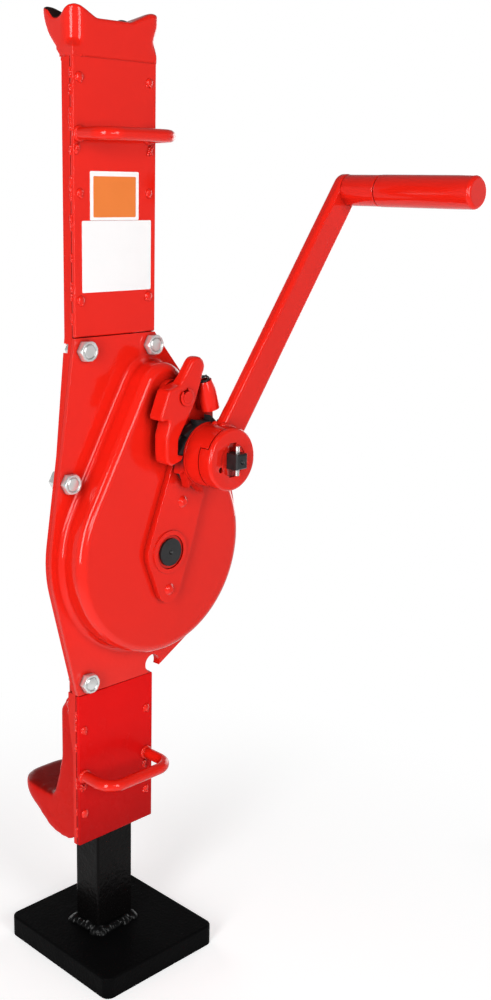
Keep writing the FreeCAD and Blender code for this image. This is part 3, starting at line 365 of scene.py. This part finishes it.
def foil(name, ink, left, right, low, high, front, thick):
    """Thin plate with rounded corners and its own printed colour, on the column's front."""
    corner = 0.0010
    bm = bmesh.new()
    size = Vector((right - left, thick, high - low))
    middle = Vector(((left + right) / 2, front - thick / 2, (low + high) / 2))
    bmesh.ops.create_cube(bm, size=1.0, matrix=Matrix.LocRotScale(middle, None, size))
    through = [e for e in bm.edges if abs((e.verts[0].co - e.verts[1].co).y) > thick / 2]
    bmesh.ops.bevel(bm, geom=through, offset=corner, offset_type="OFFSET", affect="EDGES",
                    segments=4, profile=0.5, material=-1)
    material = bpy.data.materials.new(name + "_print")
    material.use_nodes = True
    tree = material.node_tree
    shader = tree.nodes["Principled BSDF"]
    place = tree.nodes.new("ShaderNodeTexCoord").outputs["Object"]
    cloud = node(tree, "ShaderNodeTexNoise", {"Vector": place, "Scale": 60.0, "Detail": 4.0})
    print_tone = node(tree, "ShaderNodeMix", {
        "Factor": cloud.outputs["Fac"], 6: (*ink[0], 1), 7: (*ink[1], 1)}, data_type="RGBA")
    sheen = node(tree, "ShaderNodeMapRange", {
        "Value": cloud.outputs["Fac"], "From Min": 0.3, "From Max": 0.7,
        "To Min": 0.32, "To Max": 0.46})
    weave = node(tree, "ShaderNodeTexNoise", {"Vector": place, "Scale": 900.0, "Detail": 1.0})
    bump = node(tree, "ShaderNodeBump", {
        "Height": weave.outputs["Fac"], "Strength": 0.3, "Distance": 0.00004})
    tree.links.new(print_tone.outputs[2], shader.inputs["Base Color"])
    tree.links.new(sheen.outputs[0], shader.inputs["Roughness"])
    tree.links.new(bump.outputs["Normal"], shader.inputs["Normal"])
    shader.inputs["Specular IOR Level"].default_value = 0.15
    return kept(bm, name, material, "column")


white_ink = ((0.93, 0.93, 0.93), (0.97, 0.97, 0.97))
orange_ink = ((0.80, 0.215, 0.045), (0.86, 0.235, 0.052))
foil_thick, print_thick = 0.0003, 0.0001
foil("white_label_plate", white_ink, left=-0.0387, right=0.0341, low=0.6068, high=0.6630,
     front=plate_low.y, thick=foil_thick)
foil("orange_label_border", white_ink, left=-0.0303, right=0.0205, low=0.6633, high=0.7012,
     front=plate_low.y, thick=foil_thick)
foil("orange_label_plate", orange_ink, left=-0.0271, right=0.0173, low=0.6656, high=0.6974,
     front=plate_low.y - foil_thick, thick=print_thick)


# Carrying handles: round steel bar bent into two loops, the ends butted on the front plates
# in line with the plug welds and welded all round, with a few drips left below the welds.

dressed("upper_handle", red_paint)
dressed("lower_handle", red_paint)
ring_beads, ring_radius, ring_bead = 24, 0.0042, 0.0024
drip_count, drip_radius, drip_step, drip_lean = 3, 0.0015, 0.0016, 0.001
drip_across, drip_below, drip_length = (-0.004, 0.003), (0.008, 0.010), (0.002, 0.006)
feet = bmesh.new()
dice = random.Random(21)
for loop in ("upper_handle", "lower_handle"):
    low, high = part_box(loop)
    middle = (low.z + high.z) / 2
    for foot_x in plug_columns:
        for k in range(ring_beads):
            angle = 2 * math.pi * k / ring_beads
            spot = (foot_x + ring_radius * math.cos(angle), high.y,
                    middle + ring_radius * math.sin(angle))
            bmesh.ops.create_icosphere(feet, subdivisions=2, radius=ring_bead,
                                       matrix=Matrix.Translation(spot))
        for k in range(drip_count):
            drip_x = foot_x + dice.uniform(*drip_across)
            drip_z = middle - dice.uniform(*drip_below)
            end_z = drip_z - dice.uniform(*drip_length)
            drops(feet, (drip_x, high.y, drip_z), (drip_x - drip_lean, high.y, end_z),
                  drip_radius, drip_step, dice)
kept(feet, "handle_welds", red_paint, "column", crease=soft_angle)


# Claw: a steel forging whose toe lifts low loads; its edges grow softer towards the toe's tip.
# Its two cheeks are welded on the channel, with a short tack at the top of each.

def forged(solid, material, grain, wear, swell=()):
    """Copy of a solid with soft swellings, remeshed to a fine grain and worn smooth by passes."""
    forged_angle = math.radians(60)
    bm = joined(solid)
    for spot, size in swell:
        bmesh.ops.create_icosphere(bm, subdivisions=4, radius=1.0,
                                   matrix=Matrix.LocRotScale(spot, None, size))
    mesh = bpy.data.meshes.new(solid + "_blank")
    bm.to_mesh(mesh)
    bm.free()
    blank = bpy.data.objects.new(solid + "_blank", mesh)
    bpy.context.scene.collection.objects.link(blank)
    fine = blank.modifiers.new("fine_grain", "REMESH")
    fine.mode = "VOXEL"
    fine.voxel_size = grain
    bm = bmesh.new()
    bm.from_object(blank, bpy.context.evaluated_depsgraph_get())
    bpy.data.objects.remove(blank)
    for passes, worn in wear:
        loose = [v for v in bm.verts if worn(v.co)]
        for _ in range(passes):
            bmesh.ops.smooth_vert(bm, verts=loose, factor=0.5, use_axis_x=True, use_axis_y=True,
                                  use_axis_z=True)
    return kept(bm, solid + "_finished", material, frame["nodes"][solid]["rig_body"],
                [solid], forged_angle)


# Painted shade: the claw takes a darker copy of the column's red, and the faces of its toe that
# look up are darker still.
claw_shaded_paint = painted(
    "claw_shaded_red_paint", colour=(0.70, 0.0100, 0.0060), corner=red_painted_shade, tone=0.14,
    gloss=(0.20, 0.32), peel=(330.0, 0.00010), sag=1.6, specular=0.05,
    upward_shade=(0.24, 0.0050, 0.0030))
claw_wear = [(10, lambda v: True)]
for passes, start in ((16, 0.022), (20, 0.032), (24, 0.042), (30, 0.052), (40, 0.062)):
    claw_wear.append((passes, lambda v, start=start: v.y > start))
forged("claw", claw_shaded_paint, grain=0.0010, wear=claw_wear)
claw_low, claw_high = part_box("claw")
tack_start, tack_end = (0.0150, 0.2430), (0.0120, 0.2300)
tack_radius, tack_step = 0.0036, 0.0030
tack = bmesh.new()
dice = random.Random(33)
for cheek_x in (claw_low.x, claw_high.x):
    drops(tack, (cheek_x, *tack_start), (cheek_x, *tack_end), tack_radius, tack_step, dice)
kept(tack, "claw_welds", red_paint, "column", crease=soft_angle)


# Head: a forged steel block with four horns, welded flush on top of the column. Its rounded
# front corners run out into the column's square ones, the right horns lie a little out
# of line, and the faces that look up in the valleys between the horns are coloured dark.

head_low, head_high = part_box("head")
head_worn_z = head_low.z + 0.006
head = forged("head", red_paint, grain=0.0007,
              wear=((26, lambda v: v.z > head_worn_z),))


def ramp(value, start, end):
    """Smooth step from 0 at the start to 1 at the end."""
    share = min(1.0, max(0.0, (value - start) / (end - start)))
    return share * share * (3 - 2 * share)


def squared(x, y, centre_x, centre_y, share):
    """Moves a point of a rounded corner towards the square corner, by a share of the way."""
    across, deep = x - centre_x, y - centre_y
    square = math.hypot(across, deep) / max(abs(across), abs(deep)) - 1
    square *= share
    return centre_x + across * (1 + square), centre_y + deep * (1 + square)


skin, sunk, proud = 0.0010, 0.0004, 0.00012
left_x, left_y = head_low.x + 0.0130, head_low.y + 0.0130
right_x, right_y = head_high.x - 0.0060, head_low.y + 0.0060
left_flare = (head_low.z + 0.006, head_low.z + 0.014)
right_flare = (head_low.z + 0.004, head_low.z + 0.018)
valley_y = 0.012
front_horn, front_horn_z = 0.0040, (head_low.z + 0.015, head_low.z + 0.030)
front_horn_x = (0.012, 0.036)
back_horn, back_horn_z = 0.0026, (head_low.z + 0.014, head_low.z + 0.030)
back_horn_x, back_horn_y = -0.005, (0.012, 0.018)
for vertex in head.data.vertices:
    x, y, z = vertex.co
    if z < head_low.z + skin:
        z = head_low.z - sunk
        if y < head_low.y + skin:
            y = head_low.y - proud
        if x < head_low.x + skin:
            x = head_low.x
        elif x > head_high.x - skin:
            x = head_high.x
    if x < left_x and y < left_y:
        x, y = squared(x, y, left_x, left_y, 1 - ramp(z, *left_flare))
    if x > right_x and y < right_y:
        x, y = squared(x, y, right_x, right_y, 1 - ramp(z, *right_flare))
    if y < valley_y:
        x += front_horn * ramp(z, *front_horn_z) * ramp(x, *front_horn_x)
    elif x > back_horn_x:
        z -= back_horn * ramp(z, *back_horn_z) * ramp(y, *back_horn_y)
    vertex.co = (x, y, z)

# Dark colour for the faces that look up in the valleys between the horns.
dark_valley_paint = painted(
    "dark_valley_paint", colour=(0.022, 0.010, 0.009), corner=(0.006, 0.003, 0.003), tone=0.5,
    gloss=(0.5, 0.7), peel=(300.0, 0.00020), sag=1.0, specular=0.02)
head.data.materials.append(dark_valley_paint)
dark_valley_z, dark_valley_y = head_low.z + 0.004, 0.006
back_facing, front_facing = 0.5, 0.97
for face in head.data.polygons:
    facing = back_facing if face.center.y > dark_valley_y else front_facing
    face.material_index = int(face.normal.z > facing and face.center.z > dark_valley_z)


# Gear case: a cover pressed from steel sheet, with a teardrop dome over the gears.
# Its flange is bolted to the side sheets, and it is sprayed with the column.

dressed("gear_cover", red_paint, edge=0.0009)


# Case bolts and nuts: zinc plated steel hexagon bolts through the cover's flange.
# A ring is pressed into each head, and the nuts sit at the back of the side sheets.

def metal(name, colour, gloss, grain, metallic=1.0):
    """Bare or plated metal with a fine grain, patchy gloss and painted shade in its corners."""
    material = bpy.data.materials.new(name)
    material.use_nodes = True
    tree = material.node_tree
    shader = tree.nodes["Principled BSDF"]
    place = tree.nodes.new("ShaderNodeTexCoord").outputs["Object"]
    patch = node(tree, "ShaderNodeTexNoise", {"Vector": place, "Scale": 90.0, "Detail": 5.0})
    tint = node(tree, "ShaderNodeMix", {
        "Factor": patch.outputs["Fac"], 6: (*colour[0], 1), 7: (*colour[1], 1)},
        data_type="RGBA")
    # Painted shade: the colour is darkened by ambient occlusion in corners and recesses, such as
    # the rings in the bolt heads.
    corner = node(tree, "ShaderNodeAmbientOcclusion", {
        "Color": tint.outputs[2], "Distance": 0.003}, samples=6)
    rough = node(tree, "ShaderNodeMapRange", {
        "Value": patch.outputs["Fac"], "From Min": 0.3, "From Max": 0.7,
        "To Min": gloss[0], "To Max": gloss[1]})
    fine = node(tree, "ShaderNodeTexNoise", {"Vector": place, "Scale": grain, "Detail": 2.0})
    bump = node(tree, "ShaderNodeBump", {
        "Height": fine.outputs["Fac"], "Strength": 0.4, "Distance": 0.0001})
    tree.links.new(corner.outputs["Color"], shader.inputs["Base Color"])
    tree.links.new(rough.outputs[0], shader.inputs["Roughness"])
    tree.links.new(bump.outputs["Normal"], shader.inputs["Normal"])
    shader.inputs["Metallic"].default_value = metallic
    return material


def head_tops(bm, front):
    """Front faces of the bolt heads."""
    same_depth, square_on = 1e-4, -0.9
    return [f for f in bm.faces
            if f.normal.y < square_on and f.calc_center_median().y < front + same_depth]


zinc = metal("zinc_plate", colour=((0.66, 0.68, 0.68), (0.84, 0.84, 0.82)), gloss=(0.14, 0.28),
             grain=900.0, metallic=0.60)
corner_cut = 0.0024
ring_steps = ((0.0016, 0.0), (0.0008, -0.0010), (0.0008, 0.0008))
heads = joined("cover_bolts")
bolt_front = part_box("cover_bolts")[0].y
tops = head_tops(heads, bolt_front)
bmesh.ops.bevel(heads, geom=[v for f in tops for v in f.verts], offset=corner_cut,
                offset_type="OFFSET", affect="VERTICES", segments=1, profile=0.5, material=-1)
tops = head_tops(heads, bolt_front)
for inset, rise in ring_steps:
    bmesh.ops.inset_individual(heads, faces=tops, thickness=inset, depth=rise)
eased(heads, 0.0003)
kept(heads, "cover_bolts_finished", zinc, "column", ["cover_bolts"])
dressed("cover_nuts", zinc, edge=0.0006)


# Bearing plate and rear housing: a flat steel forging riveted on the dome, which carries both
# front bushes, the pawl and its spring, and a turned steel housing behind the rack for the
# rack pinion's rear bush. Both are sprayed with the case.

dressed("bearing_plate", red_paint, edge=0.0005)
dressed("plate_rivets", red_paint, edge=0.0004)
dressed("pinion_housing_shell", red_paint, edge=0.0008)


# Bushes: turned bronze, pressed into the dome, the side sheet and the rear housing.
# The one that shows at the front was sprayed over with the case.

bronze = metal("turned_bronze", colour=((0.42, 0.25, 0.09), (0.60, 0.40, 0.17)),
               gloss=(0.25, 0.45), grain=1200.0)
for bush in ("gear_rear_bush", "crank_front_bush", "crank_rear_bush"):
    frame["nodes"][bush].data.materials[0] = bronze
dressed("gear_front_bush", red_paint, edge=0.0004)


# Gear shaft: the rack pinion and its shaft are cut from one bar of steel and blackened.
# The large drive gear, of machined steel, is keyed on it inside the case.

dark_steel = metal("blackened_steel", colour=((0.018, 0.018, 0.019), (0.044, 0.044, 0.046)),
                   gloss=(0.30, 0.46), grain=700.0, metallic=0.5)
bright_steel = metal("machined_steel", colour=((0.50, 0.50, 0.49), (0.66, 0.66, 0.65)),
                     gloss=(0.18, 0.36), grain=1500.0)
dressed("rack_pinion_shaft", dark_steel, edge=0.0004)
for keyed in ("gear_key", "drive_gear"):
    frame["nodes"][keyed].data.materials[0] = bright_steel


# Crank shaft and load brake: pinion, brake flange and square end are cut from one bar of steel.
# The ratchet is clamped between two friction discs by the crank's hub, and a dog cap on the
# square end is held by a cross pin. The ratchet is dark steel above a height and red below it.

lining = metal("friction_lining", colour=((0.10, 0.08, 0.065), (0.16, 0.13, 0.11)),
               gloss=(0.70, 0.90), grain=500.0, metallic=0.0)
dressed("crank_pinion_shaft", dark_steel, edge=0.0004)
frame["nodes"]["rear_friction_disc"].data.materials[0] = lining
dressed("front_friction_disc", red_paint, edge=0.0003)
banded_ratchet = metal("banded_ratchet_steel", colour=((0.010, 0.010, 0.011), (0.026, 0.026, 0.028)),
                    gloss=(0.34, 0.52), grain=700.0, metallic=0.0)
# Below this height band the ratchet's colour turns red; above it the ratchet stays dark steel.
band_end, band_start, band_red = 0.458, 0.468, (0.62, 0.012, 0.006, 1)
tree = banded_ratchet.node_tree
tint = next(n for n in tree.nodes if n.type == "MIX")
height = node(tree, "ShaderNodeSeparateXYZ", {
    0: tree.nodes.new("ShaderNodeTexCoord").outputs["Object"]})
red_band_share = node(tree, "ShaderNodeMapRange", {
    "Value": height.outputs["Z"], "From Min": band_end, "From Max": band_start,
    "To Min": 1.0, "To Max": 0.0})
banded_colour = node(tree, "ShaderNodeMix", {
    "Factor": red_band_share.outputs[0], 6: tint.outputs[2], 7: band_red}, data_type="RGBA")
shader = tree.nodes["Principled BSDF"]
tree.links.new(banded_colour.outputs[2], shader.inputs["Base Color"])
shader.inputs["Specular IOR Level"].default_value = 0.12
dressed("ratchet_wheel", banded_ratchet, edge=0.0005)
dressed("crank_hub", red_paint, edge=0.0012)
cap_joint_y, cap_opening = -0.0840, 0.0006
cap = joined("end_cap")
bmesh.ops.translate(cap, vec=(0, -cap_opening, 0),
                    verts=[v for v in cap.verts if v.co.y > cap_joint_y])
eased(cap, 0.0005)
kept(cap, "end_cap_finished", red_paint, "crank_shaft", ["end_cap"])
dressed("cross_pin", bright_steel, edge=0.0003)


# Crank: a flat steel bar welded to the hub, and a spindle with a collar riveted in its end.
# A loose tubular grip turns on the spindle and is held by a snap ring.

dressed("crank_arm", red_paint)
dressed("grip_spindle", red_paint)
dressed("grip_sleeve", red_paint)
frame["nodes"]["grip_snap_ring"].data.materials[0] = bright_steel
hub_x, hub_z, hub_radius, arm_lean = 0.059851, 0.469286, 0.0262, 54.6
fillet_faces, fillet_radius = (-0.0722, -0.0628), 0.0034
fillet_half, fillet_step = 12, 2.4
fillet = bmesh.new()
for face_y in fillet_faces:
    for k in range(-fillet_half, fillet_half + 1):
        angle = math.radians(arm_lean + fillet_step * k)
        spot = (hub_x + hub_radius * math.cos(angle), face_y,
                hub_z + hub_radius * math.sin(angle))
        bmesh.ops.create_icosphere(fillet, subdivisions=3, radius=fillet_radius,
                                   matrix=Matrix.Translation(spot))
kept(fillet, "crank_weld", red_paint, "crank", crease=soft_angle)


# Pawl: a forged steel lever with a round knob, on a pin that a clip holds on the bearing plate.
# A coil spring in a sleeve presses the knob up and so the pawl's tooth into the ratchet.

knob, knob_size, neck_z = (0.0495, -0.0508, 0.5448), (0.0086, 0.0074, 0.0088), 0.536
forged("pawl", red_paint, grain=0.0006,
       wear=((20, lambda v: True), (40, lambda v: v.z > neck_z)), swell=((knob, knob_size),))
dressed("pawl_pin", red_paint, edge=0.0005)
clip_turn = math.radians(160)
clip = joined("pawl_clip")
pin_low, pin_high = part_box("pawl_pin")
bmesh.ops.rotate(clip, cent=(pin_low + pin_high) / 2, matrix=Matrix.Rotation(clip_turn, 3, "Y"),
                 verts=clip.verts)
eased(clip, 0.0002)
kept(clip, "pawl_clip_finished", red_paint, "column", ["pawl_clip"])
dressed("spring_sleeve", red_paint, edge=0.0006)

coil_radius, coil_length, coil_turns, turn_steps = 0.0041, 0.0270, 6, 28
wire_radius, wire_sides = 0.0008, 12
coil_foot, coil_lean = (0.065184, -0.0530, 0.511685), math.radians(108)
coil_steps = turn_steps * coil_turns
coil = bmesh.new()
upright = Matrix.Translation((coil_radius, 0, 0)) @ Matrix.Rotation(math.pi / 2, 4, "X")
section = bmesh.ops.create_circle(coil, segments=wire_sides, radius=wire_radius, matrix=upright)
bmesh.ops.spin(coil, geom=section["verts"] + list(coil.edges), cent=(0, 0, 0), axis=(0, 0, 1),
               dvec=(0, 0, coil_length / coil_steps), angle=2 * math.pi * coil_turns,
               steps=coil_steps)
ends = [e for e in coil.edges if e.is_boundary]
bmesh.ops.holes_fill(coil, edges=ends, sides=wire_sides)
bmesh.ops.recalc_face_normals(coil, faces=coil.faces)
along = Vector((math.cos(coil_lean), 0, math.sin(coil_lean)))
seated = Matrix.Translation(coil_foot) @ along.to_track_quat("Z", "Y").to_matrix().to_4x4()
bmesh.ops.transform(coil, verts=coil.verts, matrix=seated)
kept(coil, "pawl_spring_coil", dark_steel, "column", ["pawl_spring"], soft_angle)


# Studio: a paper floor and surround, white behind the jack and near its foot and pale grey
# elsewhere. A small lamp beside the camera and tall soft boxes in front and on the left
# light it, with two wide ones on the right and behind.

floor_mesh = bpy.data.meshes.new("studio_floor")
bm = bmesh.new()
bmesh.ops.create_grid(bm, x_segments=1, y_segments=1, size=6.0)
bm.to_mesh(floor_mesh)
bm.free()
floor = bpy.data.objects.new("studio_floor", floor_mesh)
bpy.context.scene.collection.objects.link(floor)
floor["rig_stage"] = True


def seen_rays(tree):
    """1 on rays that show the paper, straight, in gloss or through glass; 0 on the others."""
    ray = tree.nodes.new("ShaderNodeLightPath").outputs
    seen = node(tree, "ShaderNodeMath", {
        0: ray["Is Camera Ray"], 1: ray["Is Glossy Ray"]}, operation="MAXIMUM")
    seen = node(tree, "ShaderNodeMath", {
        0: seen.outputs[0], 1: ray["Is Transmission Ray"]}, operation="MAXIMUM")
    return seen.outputs[0]


def fade(tree, value, start, end, low, high):
    """Smooth change of a shader value from low at the start to high at the end."""
    made = node(tree, "ShaderNodeMapRange", {
        "Value": value, "From Min": start, "From Max": end, "To Min": low, "To Max": high},
        interpolation_type="SMOOTHSTEP")
    return made.outputs[0]


white_way, grey_level, white_level = (0.70, 0.714, 0.0), 0.50, 1.0
white_start, white_end = -0.10, 0.50
paper_albedo = 0.85
foot_reach = (0.10, 0.60)
pale = bpy.data.materials.new("pale_floor")
pale.use_nodes = True
tree = pale.node_tree
tree.nodes.clear()
place = tree.nodes.new("ShaderNodeTexCoord").outputs["Object"]
away = node(tree, "ShaderNodeVectorMath", {0: place}, operation="LENGTH").outputs["Value"]
course = node(tree, "ShaderNodeVectorMath", {0: place}, operation="NORMALIZE")
behind = node(tree, "ShaderNodeVectorMath", {
    0: course.outputs[0], 1: white_way}, operation="DOT_PRODUCT")
rear = fade(tree, behind.outputs["Value"], white_start, white_end, low=0.0, high=1.0)
close = fade(tree, away, start=0.36, end=0.95, low=1.0, high=0.0)
paper = node(tree, "ShaderNodeMath", {0: rear, 1: close}, operation="MAXIMUM")
paper = node(tree, "ShaderNodeMapRange", {
    "Value": paper.outputs[0], "To Min": grey_level, "To Max": white_level})
glow = fade(tree, away, *foot_reach, low=0.47, high=1.0)
glow = node(tree, "ShaderNodeMath", {0: glow, 1: paper.outputs[0]}, operation="MULTIPLY")
lit = fade(tree, away, *foot_reach, low=paper_albedo, high=0.0)
shine = node(tree, "ShaderNodeEmission", {"Color": (1, 1, 1, 1), "Strength": glow.outputs[0]})
near = node(tree, "ShaderNodeBsdfDiffuse", {"Color": lit})
shown = node(tree, "ShaderNodeAddShader", {0: shine.outputs[0], 1: near.outputs[0]})
plain = node(tree, "ShaderNodeBsdfDiffuse", {
    "Color": (paper_albedo, paper_albedo, paper_albedo, 1)})
mixed = node(tree, "ShaderNodeMixShader", {
    0: seen_rays(tree), 1: plain.outputs[0], 2: shown.outputs[0]})
node(tree, "ShaderNodeOutputMaterial", {"Surface": mixed.outputs[0]})
floor.data.materials.append(pale)

world = bpy.data.worlds.new("studio_surround")
bpy.context.scene.world = world
world.use_nodes = True
tree = world.node_tree
tree.nodes.clear()
course = tree.nodes.new("ShaderNodeTexCoord").outputs["Generated"]
behind = node(tree, "ShaderNodeVectorMath", {0: course, 1: white_way}, operation="DOT_PRODUCT")
wide = fade(tree, behind.outputs["Value"], white_start, white_end, grey_level, white_level)
rise = node(tree, "ShaderNodeSeparateXYZ", {0: course})
tall = fade(tree, rise.outputs["Z"], start=0.20, end=0.45, low=1.0, high=0.3)
paper = node(tree, "ShaderNodeMath", {0: wide, 1: tall}, operation="MULTIPLY")
white = node(tree, "ShaderNodeBackground", {
    "Color": (1, 1, 1, 1), "Strength": paper.outputs[0]})
ambient = node(tree, "ShaderNodeBackground", {"Color": (1, 1, 1, 1), "Strength": 0.08})
mixed = node(tree, "ShaderNodeMixShader", {
    0: seen_rays(tree), 1: ambient.outputs[0], 2: white.outputs[0]})
node(tree, "ShaderNodeOutputWorld", {"Surface": mixed.outputs[0]})


def soft_box(name, place, aim, size, power):
    """Oblong lamp that stands at a place and looks at an aim, both in metres; power in watts."""
    lamp = bpy.data.lights.new(name, "AREA")
    lamp.shape = "RECTANGLE"
    lamp.size, lamp.size_y = size
    lamp.energy = power
    made = bpy.data.objects.new(name, lamp)
    made.location = place
    made.rotation_mode = "QUATERNION"
    made.rotation_quaternion = (Vector(aim) - Vector(place)).to_track_quat("-Z", "Y")
    bpy.context.scene.collection.objects.link(made)


soft_box("key_light", place=(-0.50, -0.95, 0.67), aim=(0, 0, 0.60), size=(0.20, 0.20), power=1.4)
soft_box("front_soft_box", place=(-0.25, -1.75, 0.90), aim=(0, 0, 0.75), size=(0.50, 1.2),
         power=14)
soft_box("left_soft_box", place=(-1.47, -0.62, 0.80), aim=(0, 0, 0.75), size=(0.46, 1.4),
         power=20)
soft_box("right_soft_box", place=(1.9, 0.3, 0.60), aim=(0, 0, 0.45), size=(1.2, 1.2), power=12)
soft_box("rear_soft_box", place=(0.3, 1.9, 0.60), aim=(0, 0, 0.45), size=(1.2, 1.2), power=12)

stand = Vector((-0.67122, -0.79520, 0.69235))
turn, tip, roll = math.radians(44.40), math.radians(14.23), math.radians(0.92)
ahead = Vector((math.sin(turn) * math.cos(tip), math.cos(turn) * math.cos(tip), -math.sin(tip)))
right = Vector((math.cos(turn), -math.sin(turn), 0))
up = right.cross(ahead)
right, up = (math.cos(roll) * right + math.sin(roll) * up,
             -math.sin(roll) * right + math.cos(roll) * up)
lens = bpy.data.cameras.new("photo_camera")
lens.sensor_width = 36.0
lens.lens = 44.80
lens.shift_x = 0.0456
camera = bpy.data.objects.new("photo_camera", lens)
camera.matrix_world = Matrix((
    (right.x, up.x, -ahead.x, stand.x),
    (right.y, up.y, -ahead.y, stand.y),
    (right.z, up.z, -ahead.z, stand.z),
    (0, 0, 0, 1)))
bpy.context.scene.collection.objects.link(camera)
bpy.context.scene.camera = camera
bpy.context.scene.view_settings.view_transform = "Standard"

low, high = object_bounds()
